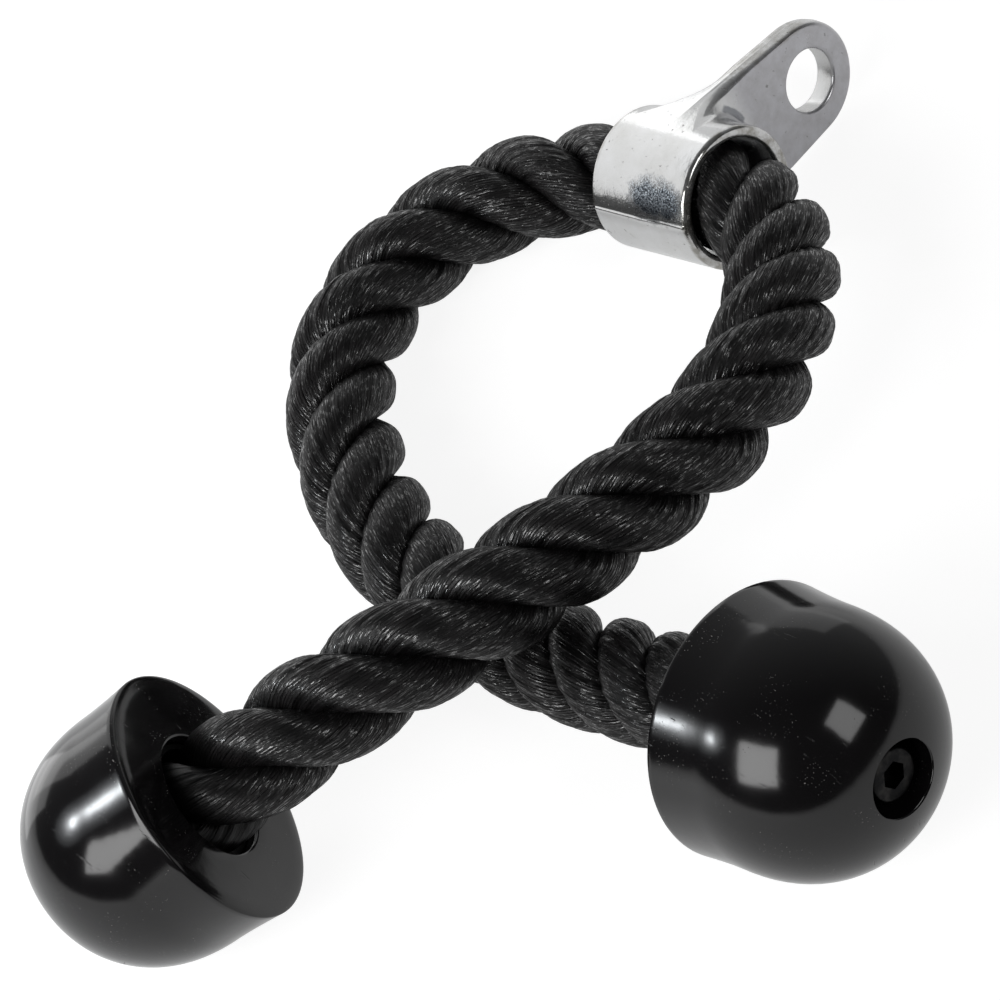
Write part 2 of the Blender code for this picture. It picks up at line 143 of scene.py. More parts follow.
def carrierMatrix():
    # Local X is the barrel's axis, and local Y points to the eye
    turn = Matrix.Rotation(-radians(carrierSize["tilt"]), 4, "Y")
    turn = turn @ Matrix.Rotation(radians(carrierSize["roll"]), 4, "X")
    return Matrix.Translation(carrierSize["place"]) @ turn


# Node helpers for the materials

def newMaterial(name):
    material = bpy.data.materials.new(name)
    material.use_nodes = True
    return material, material.node_tree, material.node_tree.nodes["Principled BSDF"]


def addNode(tree, kind, settings=None, **values):
    node = tree.nodes.new(kind)
    for key, value in (settings or {}).items():
        setattr(node, key, value)
    for key, value in values.items():
        node.inputs[key.replace("_", " ")].default_value = value
    return node


def addNoise(tree, vector, scale, detail=2.0, roughness=0.5):
    noise = addNode(tree, "ShaderNodeTexNoise", Scale=scale, Detail=detail, Roughness=roughness)
    tree.links.new(vector, noise.inputs["Vector"])
    return noise.outputs["Fac"]


def addRange(tree, value, low, high, toLow, toHigh):
    node = addNode(tree, "ShaderNodeMapRange")
    for index, number in zip((1, 2, 3, 4), (low, high, toLow, toHigh)):
        node.inputs[index].default_value = number
    tree.links.new(value, node.inputs[0])
    return node.outputs[0]


def addMath(tree, operation, first, second):
    node = addNode(tree, "ShaderNodeMath", {"operation": operation})
    for index, item in enumerate((first, second)):
        if hasattr(item, "is_linked"):
            tree.links.new(item, node.inputs[index])
        else:
            node.inputs[index].default_value = item
    return node.outputs[0]


def addSum(tree, first, second):
    return addMath(tree, "ADD", first, second)


def addTimes(tree, first, second):
    return addMath(tree, "MULTIPLY", first, second)


def addMix(tree, factor, first, second):
    node = addNode(tree, "ShaderNodeMix", {"data_type": "RGBA"})
    tree.links.new(factor, node.inputs[0])
    for index, item in ((6, first), (7, second)):
        if hasattr(item, "is_linked"):
            tree.links.new(item, node.inputs[index])
        else:
            node.inputs[index].default_value = (*item, 1)
    return node.outputs[2]


def addBump(tree, height, distance, strength=1.0, normal=None):
    bump = addNode(tree, "ShaderNodeBump", Strength=strength, Distance=distance)
    tree.links.new(height, bump.inputs["Height"])
    if normal:
        tree.links.new(normal, bump.inputs["Normal"])
    return bump.outputs["Normal"]


def addStreaks(tree, vector, scale, detail, roughness, rotation=(0, 0, 0)):
    # Noise drawn out along one axis or another
    mapping = addNode(tree, "ShaderNodeMapping", Scale=scale, Rotation=rotation)
    tree.links.new(vector, mapping.inputs["Vector"])
    return addNoise(tree, mapping.outputs["Vector"], 1, detail, roughness)


def addNear(tree, place, point):
    # How far a place is from one point
    near = addNode(tree, "ShaderNodeVectorMath", {"operation": "DISTANCE"})
    tree.links.new(place, near.inputs[0])
    near.inputs[1].default_value = point
    return near.outputs["Value"]


def addAlong(tree, place, matrix, axis):
    # How far a place lies along one of the matrix's own axes, from its origin
    direction = matrix.col[axis].to_3d()
    dot = addNode(tree, "ShaderNodeVectorMath", {"operation": "DOT_PRODUCT"})
    tree.links.new(place, dot.inputs[0])
    dot.inputs[1].default_value = direction
    return addMath(tree, "SUBTRACT", dot.outputs["Value"], direction.dot(matrix.translation))


# Rope

ropeCord = {
    "diameter": 0.028,
    "length": 0.627,
    "endDepth": 0.0164,     # its ends, inside the caps' mouths
    "lead": 0.008,          # straight out of each mouth
    "clearance": 0.00165,   # between rope and barrel
    "steps": 560,
    "yarns": 44,            # seen round each strand
    "helix": 0.0076,        # the strands' middle lines lie this far out
    "strandWide": 0.0067,
    "strandHigh": 0.0069,
    "squareness": 2.35,
    "yarnShear": 1.2,       # how far the yarns go round their strand for each metre along it
    "yarnRise": 0.00005,
    "yarnHeights": (0.6, 1.35),
    "yarnShape": (-1.0, 0.35, 0.75, 0.35),      # a yarn's groove, flank, crest and flank
    "bundle": 0.0031,       # width of a bundle of yarns that stands up
    "bundleWidths": (0.75, 1.9),
    "bundleRise": 0.00015,
    "bundleWaves": 5,
    "bundleSum": 2.2,       # about what that many waves add up to
    "bundleDrift": 22,      # and how fast they may turn along the strand, in radians for each metre
    "swells": ((0.012, 0.031, 2.1), (0.008, 0.0117, 1)),    # share, length, shift from strand to strand
    "barrelSqueeze": 0.05, "endSqueeze": 0.03,
    "barrelBow": ((-1, -0.7), (0, 0.6), (1, -0.7)),         # along half the barrel, in clearances
    "barrelSag": 0.25,
    "lift": 0.0003,         # keeps its lowest yarns off the floor
    "firstTurn": 60,
    "patternShift": 0.31,   # so that no two strands look alike
    "pathStep": 8,          # every eighth point is enough for the cord's path
    "seed": 7,
}

lowerArm = (
    (0.0225, -0.0325, 0.0248), (0.0020, -0.0330, 0.0188), (-0.0190, -0.0340, 0.0152),
    (-0.0405, -0.0340, 0.0145), (-0.0620, -0.0315, 0.0145), (-0.0824, -0.0257, 0.0145),
    (-0.1016, -0.0163, 0.0145), (-0.1187, -0.0042, 0.0145), (-0.1330, 0.0117, 0.0145),
    (-0.1410, 0.0319, 0.0145), (-0.1411, 0.0530, 0.0147), (-0.1321, 0.0724, 0.0150),
    (-0.1172, 0.0862, 0.0162),
)

upperArm = (
    (-0.0451, 0.0929, 0.0277), (-0.0280, 0.0810, 0.0310), (-0.0160, 0.0645, 0.0340),
    (-0.0088, 0.0451, 0.0362), (-0.0066, 0.0247, 0.0390), (-0.0091, 0.0044, 0.0417),
    (-0.0138, -0.0158, 0.0437), (-0.0195, -0.0357, 0.0459), (-0.0262, -0.0552, 0.0475),
    (-0.0341, -0.0745, 0.0475), (-0.0440, -0.0925, 0.0447),
)

ropeLay = (     # millimetres along the rope, turns of its strands, as they lie in the photograph
    (-0.8, -0.878), (56.2, 0.173), (104.2, 1.028), (151.2, 1.906), (199.2, 2.636), (247.2, 3.365),
    (293.2, 4.038), (339.2, 4.75), (380.2, 5.407), (411.2, 5.984), (428.2, 6.286), (469.2, 6.913),
    (491.2, 7.243), (557.2, 8.24), (629.2, 9.33),
)


def naturalSpline(stations, knots, places):
    # A natural cubic through the knots, read at the places
    stations = np.asarray(stations, float)
    knots = np.asarray(knots, float).reshape(len(stations), -1)
    gaps = np.diff(stations)
    count = len(stations)
    matrix = np.eye(count)
    right = np.zeros_like(knots)
    for index in range(1, count - 1):
        before, after = gaps[index - 1], gaps[index]
        matrix[index, index - 1:index + 2] = (before, 2 * (before + after), after)
        right[index] = 6 * ((knots[index + 1] - knots[index]) / after
                            - (knots[index] - knots[index - 1]) / before)
    bends = np.linalg.solve(matrix, right)
    span = np.clip(np.searchsorted(stations, places) - 1, 0, count - 2)
    toEnd = (stations[span + 1] - places)[:, None]
    fromStart = (places - stations[span])[:, None]
    gap = gaps[span][:, None]
    cubic = (bends[span] * toEnd ** 3 + bends[span + 1] * fromStart ** 3) / (6 * gap)
    start = (knots[span] / gap - bends[span] * gap / 6) * toEnd
    end = (knots[span + 1] / gap - bends[span + 1] * gap / 6) * fromStart
    return cubic + start + end


def ropeMiddle(count):
    # The rope's middle line at even steps, from the right cap to the left one
    depths = (ropeCord["endDepth"], ropeCord["endDepth"] / 2, 0, -ropeCord["lead"])
    ends = {side: [capMatrix(side) @ Vector((depth, 0, 0)) for depth in depths] for side in capPlaces}
    half = carrierSize["length"] / 2
    gap = ropeCord["clearance"]
    barrel = [carrierMatrix() @ Vector((share * half, bow * gap, -ropeCord["barrelSag"] * gap))
              for share, bow in ropeCord["barrelBow"]]
    route = ends["right"] + [Vector(p) for p in lowerArm] + barrel
    route += [Vector(p) for p in upperArm] + ends["left"][::-1]
    knots = np.array([tuple(p) for p in route]) + (0, 0, ropeCord["lift"])
    chords = np.concatenate(([0], np.cumsum(np.linalg.norm(np.diff(knots, axis=0), axis=1))))
    finePlaces = np.linspace(0, chords[-1], 60 * len(knots))
    fine = naturalSpline(chords, knots, finePlaces)
    lengths = np.concatenate(([0], np.cumsum(np.linalg.norm(np.diff(fine, axis=0), axis=1))))
    even = np.linspace(0, lengths[-1], count)
    return naturalSpline(chords, knots, np.interp(even, lengths, finePlaces)), even


def unit(rows):
    return rows / np.linalg.norm(rows, axis=1)[:, None]


def untwistedFrame(points, stations):
    # Two directions square to the line that turn with it but never twist about it
    ahead = unit(np.gradient(points, stations, axis=0))
    side = np.zeros_like(points)
    carried = np.array((0, 0, 1.0))
    for index, direction in enumerate(ahead):
        carried = carried - direction * (carried @ direction)
        carried = carried / np.linalg.norm(carried)
        side[index] = carried
    return ahead, side, np.cross(ahead, side)


def strandSection():
    # One strand's section as even steps round it: distance round, outward and sideways
    angles = np.linspace(-pi, pi, 1441)
    power = 2 / ropeCord["squareness"]
    outward = ropeCord["strandHigh"] * np.sign(np.cos(angles)) * np.abs(np.cos(angles)) ** power
    sideways = ropeCord["strandWide"] * np.sign(np.sin(angles)) * np.abs(np.sin(angles)) ** power
    around = np.concatenate(([0], np.cumsum(np.hypot(np.diff(outward), np.diff(sideways)))))
    return around, outward, sideways


def softStep(value):
    value = np.clip(value, 0, 1)
    return value * value * (3 - 2 * value)


def ropeSqueeze(middle, stations):
    # The barrel and the ferrules press the strands together a little
    barrel = np.linalg.norm(middle - np.array(carrierSize["place"]), axis=1)
    inBarrel = softStep((carrierSize["length"] * 0.72 - barrel) / (carrierSize["length"] * 0.22))
    fromEnd = np.minimum(stations, stations[-1] - stations)
    inCap = softStep((ropeCord["endDepth"] + 0.006 - fromEnd) / 0.01)
    return 1 - ropeCord["barrelSqueeze"] * inBarrel - ropeCord["endSqueeze"] * inCap


def strandMesh(strand, middle, stations, random):
    # Rows of points follow the yarns, four to each, so that every yarn is a low ridge
    steps, sides = ropeCord["steps"], 4 * ropeCord["yarns"]
    ahead, first, second = untwistedFrame(middle, stations)
    laid = naturalSpline([row[0] / 1000 for row in ropeLay], [row[1] for row in ropeLay], stations)[:, 0]
    squeeze = ropeSqueeze(middle, stations)
    around, outward, sideways = strandSection()
    girth = around[-1]
    angle = 2 * pi * (laid + strand / 3) + radians(ropeCord["firstTurn"])
    out = first * np.cos(angle)[:, None] + second * np.sin(angle)[:, None]
    line = middle + out * (ropeCord["helix"] * squeeze)[:, None]
    travel = np.concatenate(([0], np.cumsum(np.linalg.norm(np.diff(line, axis=0), axis=1))))
    along = unit(np.gradient(line, travel, axis=0))
    out = unit(out - along * np.sum(out * along, axis=1)[:, None])
    aside = np.cross(along, out)
    row = np.arange(sides)
    across = row * girth / sides
    place = np.mod(across[None, :] - ropeCord["yarnShear"] * travel[:, None], girth)
    # Each yarn is a round ridge of its own height, and bundles of them stand up a little
    ridge = np.array(ropeCord["yarnShape"])[row % 4]
    height = np.repeat(random.uniform(*ropeCord["yarnHeights"], sides // 4), 4) * ridge
    uneven = 1 + 0.25 * np.sin(travel[:, None] / 0.006 + row // 4 * 2.3)
    rise = ropeCord["yarnRise"] * height[None, :] * uneven
    for wave in range(ropeCord["bundleWaves"]):
        width = ropeCord["bundle"] * random.uniform(*ropeCord["bundleWidths"])
        turns = max(3, round(girth / width))
        drift = random.uniform(-ropeCord["bundleDrift"], ropeCord["bundleDrift"])
        phase = random.uniform(0, 6.28)
        bundles = np.sin(2 * pi * turns * row / sides + drift * travel[:, None] + phase)
        rise = rise + ropeCord["bundleRise"] / ropeCord["bundleSum"] * bundles
    slow = 1
    for share, length, shift in ropeCord["swells"]:
        slow = slow + share * np.sin(travel / length + strand * shift)
    swell = (slow * squeeze)[:, None] * (1 + rise / ropeCord["strandHigh"])
    rows = line[:, None, :] + out[:, None, :] * (np.interp(place, around, outward) * swell)[:, :, None]
    rows = rows + aside[:, None, :] * (np.interp(place, around, sideways) * swell)[:, :, None]
    after = (row + 1) % sides
    base = np.arange(steps)[:, None] * sides
    quads = np.stack((base + row, base + after, base + sides + after, base + sides + row), axis=-1)
    faces = quads.reshape(-1, 4).tolist()
    low = np.repeat(travel[:-1, None], sides, 1)
    high = np.repeat(travel[1:, None], sides, 1)
    left = np.repeat(across[None, :], steps, 0) + ropeCord["patternShift"] * strand
    right = left + girth / sides
    pattern = np.stack((left, low, right, low, right, high, left, high), axis=-1).reshape(-1, 2)
    faces.append(row[::-1].tolist())
    faces.append((steps * sides + row).tolist())
    mesh = bpy.data.meshes.new(f"rope_strand_{strand + 1}")
    mesh.from_pydata(rows.reshape(-1, 3), [], faces)
    layer = mesh.uv_layers.new(name="lay")
    layer.data.foreach_set("uv", np.concatenate((pattern, np.zeros((2 * sides, 2)))).ravel())
    mesh.shade_smooth()
    return mesh


ropeLook = {
    # Noises: waves in a metre across the yarns and along them, detail and roughness
    "filaments": ((2600, 230, 1), 3, 0.7),
    "crimp": ((1300, 350, 1), 2, 0.6),
    "strokes": ((2500, 560, 1), 2, 0.55),
    "patches": ((150, 70, 1), 2, 0.5),
    "wander": ((330, 120, 1), 2, 0.5),
    "stray": 0.0006,        # how far a groove wanders to either side
    "dark": (0.0008, 0.0007, 0.0008), "pale": (0.0105, 0.0093, 0.0097),
    # Painted shade: the colour in the grooves and where the rope goes into the caps
    "groove": (0.0004, 0.0003, 0.0004),
    "grooveDepth": 0.00014, "crimpHeight": 0.00014, "filamentHeight": 0.00013,
    "roughness": 0.4, "glintRoughness": 0.2, "coatRoughness": 0.11, "coatIor": 1.9,
    "shine": 0.3, "grooveShine": 0.04,
    "mouthDepth": 0.002, "mouthNear": 0.0145, "mouthFar": 0.0195, "mouthShade": 0.9,
}


def ropeMaterial():
    # The UV map runs across the yarns and along them, in metres
    look = ropeLook
    material, tree, shader = newMaterial("blackRopeFibre")
    uv = addNode(tree, "ShaderNodeUVMap", {"uv_map": "lay"}).outputs["UV"]
    filaments = addStreaks(tree, uv, *look["filaments"])
    crimp = addStreaks(tree, uv, *look["crimp"])
    strokes = addStreaks(tree, uv, *look["strokes"])
    patches = addStreaks(tree, uv, *look["patches"])
    wander = addStreaks(tree, uv, *look["wander"])
    # Yarns: ridges of uneven width, with a narrow groove between some of them; the grooves take a darker
    # colour as painted shade
    across = addNode(tree, "ShaderNodeSeparateXYZ")
    tree.links.new(uv, across.inputs[0])
    stray = addRange(tree, wander, 0.25, 0.75, -look["stray"], look["stray"])
    turns = addTimes(tree, addSum(tree, across.outputs[0], stray), ropeYarnTurns())
    ridge = addMath(tree, "ABSOLUTE", addMath(tree, "SINE", turns, 0), 0)
    depth = addRange(tree, patches, 0.35, 0.6, 0.35, 1)
    groove = addTimes(tree, addRange(tree, ridge, 0, 0.45, 1, 0), depth)
    # Painted shade: the grooves and the rope's ends in the caps' mouths take the dark groove colour
    paintedShade = addMath(tree, "MAXIMUM", groove, ropeShade(tree))
    pale = addRange(tree, addTimes(tree, filaments, patches), 0.2, 0.34, 0, 1)
    fibre = addMix(tree, pale, look["dark"], look["pale"])
    tree.links.new(addMix(tree, paintedShade, fibre, look["groove"]), shader.inputs["Base Color"])
    # Some lengths of filament lie flat and glint
    glint = addMath(tree, "SUBTRACT", addRange(tree, strokes, 0.54, 0.62, 0, 1), paintedShade)
    roughness = addRange(tree, glint, 0, 1, look["roughness"], look["glintRoughness"])
    tree.links.new(roughness, shader.inputs["Roughness"])
    tree.links.new(glint, shader.inputs["Coat Weight"])
    shader.inputs["Coat IOR"].default_value = look["coatIor"]
    shader.inputs["Coat Roughness"].default_value = look["coatRoughness"]
    normal = addBump(tree, groove, -look["grooveDepth"])
    normal = addBump(tree, crimp, look["crimpHeight"], 1.0, normal)
    normal = addBump(tree, filaments, look["filamentHeight"], 1.0, normal)
    tree.links.new(normal, shader.inputs["Coat Normal"])
    tree.links.new(normal, shader.inputs["Normal"])
    shine = addRange(tree, groove, 0, 1, look["shine"], look["grooveShine"])
    tree.links.new(shine, shader.inputs["Specular IOR Level"])
    return material


def ropeShade(tree):
    # Painted shade: the rope's colour darkens where it goes into a cap
    look = ropeLook
    place = addNode(tree, "ShaderNodeTexCoord").outputs["Object"]
    shade = 0
    for side in capPlaces:
        near = addNear(tree, place, capMatrix(side) @ Vector((look["mouthDepth"], 0, 0)))
        near = addRange(tree, near, look["mouthNear"], look["mouthFar"], look["mouthShade"], 0)
        shade = addMath(tree, "MAXIMUM", near, shade)
    return shade


def ropeYarnTurns():
    # Half a turn of a sine for each yarn's width
    return pi * ropeCord["yarns"] / strandSection()[0][-1]


def makeRope():
    middle, stations = ropeMiddle(ropeCord["steps"] + 1)
    random = np.random.default_rng(ropeCord["seed"])
    material = ropeMaterial()
    for strand in range(3):
        mesh = strandMesh(strand, middle, stations, random)
        mesh.materials.append(material)
        piece = bpy.data.objects.new(mesh.name, mesh)
        bpy.context.scene.collection.objects.link(piece)
        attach(piece, "rope_and_caps")
        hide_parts("rope")


makeRope()
print("rope laid")

# Floor and light

lightAim = Vector((-0.02, -0.02, 0.03))


def fromAround(heading, rise, distance=1.25):
    # A place at this heading on the plan and this angle above level, in degrees
    heading, rise = radians(heading), radians(rise)
    toward = Vector((cos(rise) * cos(heading), cos(rise) * sin(heading), sin(rise)))
    return tuple(lightAim + toward * distance)


stageLook = {
    "floorSize": 9.0,
    "floorColor": (0.62, 0.62, 0.62),
    "shownColor": (0.30, 0.30, 0.30),   # the lit share of the shown white
    "shownGlow": 0.87,                  # the rest of it
    "mirroredGlow": 0.38,               # the same in reflections, where more of it is lit
}

skyLook = {     # a dark room, with a soft glow from behind on the right
    "level": 0.05, "glow": 0.27, "heading": 130, "rise": 3, "focus": 1.4, "color": (0.98, 0.99, 1.0),
}

lamps = {       # place, size, roll, radiance, heading that it faces if not the aim
    "windowLeft": (fromAround(-88.5, 34.5), (0.74, 0.68), 11, 6.2, None),
    "windowRight": (fromAround(15.5, 37.5), (0.495, 0.595), -4, 3.4, None),
    "bounceCard": ((-0.375, 0.08, 0.15), (0.52, 0.3), 0, 0.92, 0),
    "nearCard": ((-0.2, -0.15, 0.045), (0.07, 0.08), 0, 1.0, 0),
    "farCard": ((-0.3, 0.43, 0.14), (0.36, 0.28), 0, 0.45, -54),
}

keyLamp = {
    "place": (-0.243, -0.325, 0.24), "roll": -20, "color": (0.93, 0.97, 1.0),
    # Width, height and radiance of each layer: it is brightest in its middle
    "layers": ((0.036, 0.026, 34), (0.052, 0.046, 14), (0.072, 0.074, 6.5),
               (0.096, 0.105, 3), (0.124, 0.14, 1.3), (0.156, 0.18, 0.6)),
}


def makeStage():
    material, tree, shader = newMaterial("paleFloor")
    tree.nodes.remove(shader)
    output = tree.nodes["Material Output"]
    path = addNode(tree, "ShaderNodeLightPath")
    shown = addMath(tree, "MAXIMUM", path.outputs["Is Camera Ray"], path.outputs["Is Transmission Ray"])
    mirrored = addTimes(tree, path.outputs["Is Glossy Ray"], stageLook["mirroredGlow"])
    glowing = addMath(tree, "MAXIMUM", addTimes(tree, shown, stageLook["shownGlow"]), mirrored)
    lit = addNode(tree, "ShaderNodeBsdfDiffuse")
    color = addMix(tree, shown, stageLook["floorColor"], stageLook["shownColor"])
    tree.links.new(color, lit.inputs["Color"])
    glow = addNode(tree, "ShaderNodeEmission")
    tree.links.new(glowing, glow.inputs["Strength"])
    both = addNode(tree, "ShaderNodeAddShader")
    tree.links.new(lit.outputs[0], both.inputs[0])
    tree.links.new(glow.outputs[0], both.inputs[1])
    tree.links.new(both.outputs[0], output.inputs["Surface"])
    bpy.ops.object.select_all(action="DESELECT")
    bpy.ops.mesh.primitive_plane_add(size=stageLook["floorSize"], location=(0, 0, 0))
    floor = bpy.context.object
    floor.name = "floor"
    floor.data.materials.append(material)


def skyBackground(tree):
    # Level sky plus a lobe round one direction
    rays = addNode(tree, "ShaderNodeTexCoord").outputs["Generated"]
    heading, rise = radians(skyLook["heading"]), radians(skyLook["rise"])
    dot = addNode(tree, "ShaderNodeVectorMath", {"operation": "DOT_PRODUCT"})
    tree.links.new(rays, dot.inputs[0])
    dot.inputs[1].default_value = (cos(rise) * cos(heading), cos(rise) * sin(heading), sin(rise))
    facing = addMath(tree, "MAXIMUM", dot.outputs["Value"], 0)
    glow = addTimes(tree, addMath(tree, "POWER", facing, skyLook["focus"]), skyLook["glow"])
    return addSum(tree, glow, skyLook["level"])


def addLamp(name, place, size, roll, radiance, facing=None):
    # A flat lamp that faces the aim, or a heading on the plan
    data = bpy.data.lights.new(name, "AREA")
    data.shape = "RECTANGLE"
    data.size, data.size_y = size
    data.energy = radiance * pi * size[0] * size[1]
    lamp = bpy.data.objects.new(name, data)
    bpy.context.scene.collection.objects.link(lamp)
    away = Vector(place) - lightAim
    if facing is not None:
        away = -Vector((cos(radians(facing)), sin(radians(facing)), 0))
    turn = away.to_track_quat("Z", "Y").to_matrix().to_4x4()
    turn = turn @ Matrix.Rotation(radians(roll), 4, "Z")
    lamp.matrix_world = Matrix.Translation(place) @ turn
    return data


def makeLight():
    scene = bpy.context.scene
    scene.view_settings.view_transform = "Standard"
    world = bpy.data.worlds.new("studio")
    world.use_nodes = True
    background = world.node_tree.nodes["Background"]
    background.inputs["Color"].default_value = (*skyLook["color"], 1)
    world.node_tree.links.new(skyBackground(world.node_tree), background.inputs["Strength"])
    scene.world = world
    for name, settings in lamps.items():
        addLamp(name, *settings)
    for number, (width, height, radiance) in enumerate(keyLamp["layers"]):
        size = (width, height)
        rounded = radiance * pi / 4     # an ellipse has that share of its rectangle's area
        lamp = addLamp(f"keyLayer{number}", keyLamp["place"], size, keyLamp["roll"], rounded)
        lamp.shape = "ELLIPSE"
        lamp.color = keyLamp["color"]


makeStage()
makeLight()
print("stage and lights set")

# Hand tools for the turned pieces

mergeDistance = 0.000004


def arcPoints(center, radius, start, end, steps):
    angles = [radians(start + (end - start) * step / steps) for step in range(steps + 1)]
    return [(center[0] + radius * cos(a), center[1] + radius * sin(a)) for a in angles]


def turnOutline(name, outline, turns):
    # A chain of points (along X, out from it), extruded one by one and spun round the X axis
    bpy.ops.object.select_all(action="DESELECT")
    bpy.ops.mesh.primitive_plane_add(size=0.01, location=(0, 0, 0))
    piece = bpy.context.object
    piece.name = name
    piece.data.name = name
    bpy.ops.object.mode_set(mode="EDIT")
    bpy.ops.mesh.select_all(action="SELECT")
    bpy.ops.mesh.merge(type="CENTER")
    along, out = outline[0]
    bpy.ops.transform.translate(value=(along, 0, out))
    for (fromX, fromZ), (toX, toZ) in zip(outline, outline[1:]):
        step = (toX - fromX, 0, toZ - fromZ)
        bpy.ops.mesh.extrude_region_move(TRANSFORM_OT_translate={"value": step})
    bpy.ops.mesh.select_all(action="SELECT")
    bpy.ops.mesh.spin(steps=turns, angle=2 * pi, center=(0, 0, 0), axis=(1, 0, 0))
    bpy.ops.mesh.select_all(action="SELECT")
    bpy.ops.mesh.remove_doubles(threshold=mergeDistance)
    bpy.ops.mesh.normals_make_consistent(inside=False)
    bpy.ops.object.mode_set(mode="OBJECT")
    return piece


def settle(piece, matrix, angle=35):
    # Its place goes into its mesh, as with the CAD nodes
    piece.matrix_world = matrix
    bpy.ops.object.select_all(action="DESELECT")
    bpy.context.view_layer.objects.active = piece
    piece.select_set(True)
    bpy.ops.object.transform_apply(location=True, rotation=True, scale=True)
    bpy.ops.object.shade_smooth_by_angle(angle=radians(angle))


def cutWith(piece, cutter):
    # Boolean the cutter out of the piece and delete it
    modifier = piece.modifiers.new("cut", "BOOLEAN")
    modifier.operation = "DIFFERENCE"
    modifier.solver = "EXACT"
    modifier.object = cutter
    bpy.ops.object.select_all(action="DESELECT")
    bpy.context.view_layer.objects.active = piece
    piece.select_set(True)
    bpy.ops.object.modifier_apply(modifier="cut")
    bpy.data.objects.remove(cutter, do_unlink=True)


# End caps

def capOutline():
    s = capSize
    outline = capOutside()
    top = outline[-1][0]
    rim = s["counterboreRound"]
    outline += arcPoints((top - rim, s["counterbore"] + rim), rim, 75, 180, 6)
    floor = s["counterboreFloor"]
    outline += [(top - rim - (top - rim - floor) * share, s["counterbore"]) for share in (0.3, 0.6)]
    bevel = s["floorBevel"]
    outline += [(floor + bevel, s["counterbore"]), (floor, s["counterbore"] - bevel)]
    outline += [(floor, s["screwHole"]), (s["boreDepth"], s["screwHole"]), (s["boreDepth"], s["boreRadius"])]
    corner = s["boreRound"]
    outline += arcPoints((corner, s["boreRadius"] + corner), corner, 270, 180, 8)
    face = s["mouth"] - s["mouthRound"] - s["boreRadius"] - corner
    outline += [(0, s["boreRadius"] + corner + face * share) for share in (0.25, 0.5, 0.75)]
    outline.append(outline[0])
    return outline


plasticLook = {
    # Noises: waves in a metre, detail and roughness
    "cloud": (45, 3, 0.55), "fine": (900, 3, 0.6), "grains": (2300, 1, 0.5), "gathered": (85, 2, 0.6),
    "handled": (70, 1, 0.5),
    "base": (0.0042, 0.0038, 0.0042), "dust": (0.22, 0.21, 0.2),
    "haze": (0.1, 0.16), "scratchRoughness": 0.2, "dustRoughness": 0.5, "ior": 1.47,
    "ripple": 0.0006, "rippleStrength": 0.2, "peel": 0.000006, "peelStrength": 0.5,
    "scratchDepth": 0.00002, "dustHeight": 0.00006,
    "scratchWaves": (150, 1500, 150), "scratchTurn": (0.4, 0.3, 0.9),
}


def plasticMaterial():
    look = plasticLook
    material, tree, shader = newMaterial("glossBlackPlastic")
    place = addNode(tree, "ShaderNodeTexCoord").outputs["Object"]
    cloud = addNoise(tree, place, *look["cloud"])
    fine = addNoise(tree, place, *look["fine"])
    # Dust: specks where a fine noise peaks, gathered in patches
    grains = addRange(tree, addNoise(tree, place, *look["grains"]), 0.715, 0.75, 0, 1)
    gathered = addRange(tree, addNoise(tree, place, *look["gathered"]), 0.52, 0.66, 0, 1)
    dust = addTimes(tree, grains, gathered)
    tree.links.new(addMix(tree, dust, look["base"], look["dust"]), shader.inputs["Base Color"])
    # Handling haze, and short hairline scratches here and there
    scratch = addStreaks(tree, place, look["scratchWaves"], 2, 0.6, look["scratchTurn"])
    handled = addRange(tree, addNoise(tree, place, *look["handled"]), 0.55, 0.66, 0, 1)
    scratch = addTimes(tree, addRange(tree, scratch, 0.66, 0.7, 0, 1), handled)
    haze = addRange(tree, cloud, 0.35, 0.75, *look["haze"])
    rough = addSum(tree, haze, addTimes(tree, scratch, look["scratchRoughness"]))
    rough = addSum(tree, rough, addTimes(tree, dust, look["dustRoughness"]))
    tree.links.new(rough, shader.inputs["Roughness"])
    normal = addBump(tree, cloud, look["ripple"], look["rippleStrength"])
    normal = addBump(tree, fine, look["peel"], look["peelStrength"], normal)
    normal = addBump(tree, scratch, -look["scratchDepth"], 1.0, normal)
    normal = addBump(tree, dust, look["dustHeight"], 1.0, normal)
    tree.links.new(normal, shader.inputs["Normal"])
    shader.inputs["IOR"].default_value = look["ior"]
    return material


def makeCaps():
    material = plasticMaterial()
    for side in capPlaces:
        cap = turnOutline(side + "_grip_cap", capOutline(), capSize["turns"])
        settle(cap, capMatrix(side), 30)
        cap.data.materials.append(material)
        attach(cap, "rope_and_caps")
        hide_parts(side + "_end_cap")


makeCaps()
print("caps turned")

# Screws in the caps

screwSize = {
    "tip": 0.0175, "radius": 0.004, "seat": 0.0375, "head": 0.0065, "top": 0.0455,
    "edge": 0.0006, "flats": 0.006, "socketDepth": 0.004, "turns": 64,
    "pitch": 0.00125, "threadFrom": 0.0008, "threadEnd": 0.006,     # from the tip, and from the seat
    "threadDepth": 0.00035, "crest": 0.00002, "tipBevel": 0.0009, "headBevel": 0.0002,
    "cloud": (300, 3, 0.6), "grain": (2400, 2, 0.5),
    "dark": (0.008, 0.008, 0.0085), "worn": (0.028, 0.027, 0.026), "roughness": (0.3, 0.45),
}


def oxideMaterial():
    material, tree, shader = newMaterial("blackOxideSteel")
    place = addNode(tree, "ShaderNodeTexCoord").outputs["Object"]
    cloud = addNoise(tree, place, *screwSize["cloud"])
    grain = addNoise(tree, place, *screwSize["grain"])
    worn = addRange(tree, cloud, 0.45, 0.7, 0, 1)
    tree.links.new(addMix(tree, worn, screwSize["dark"], screwSize["worn"]), shader.inputs["Base Color"])
    tree.links.new(addRange(tree, grain, 0.3, 0.7, *screwSize["roughness"]), shader.inputs["Roughness"])
    tree.links.new(addBump(tree, grain, 0.00003, 0.7), shader.inputs["Normal"])
    shader.inputs["Metallic"].default_value = 1
    return material


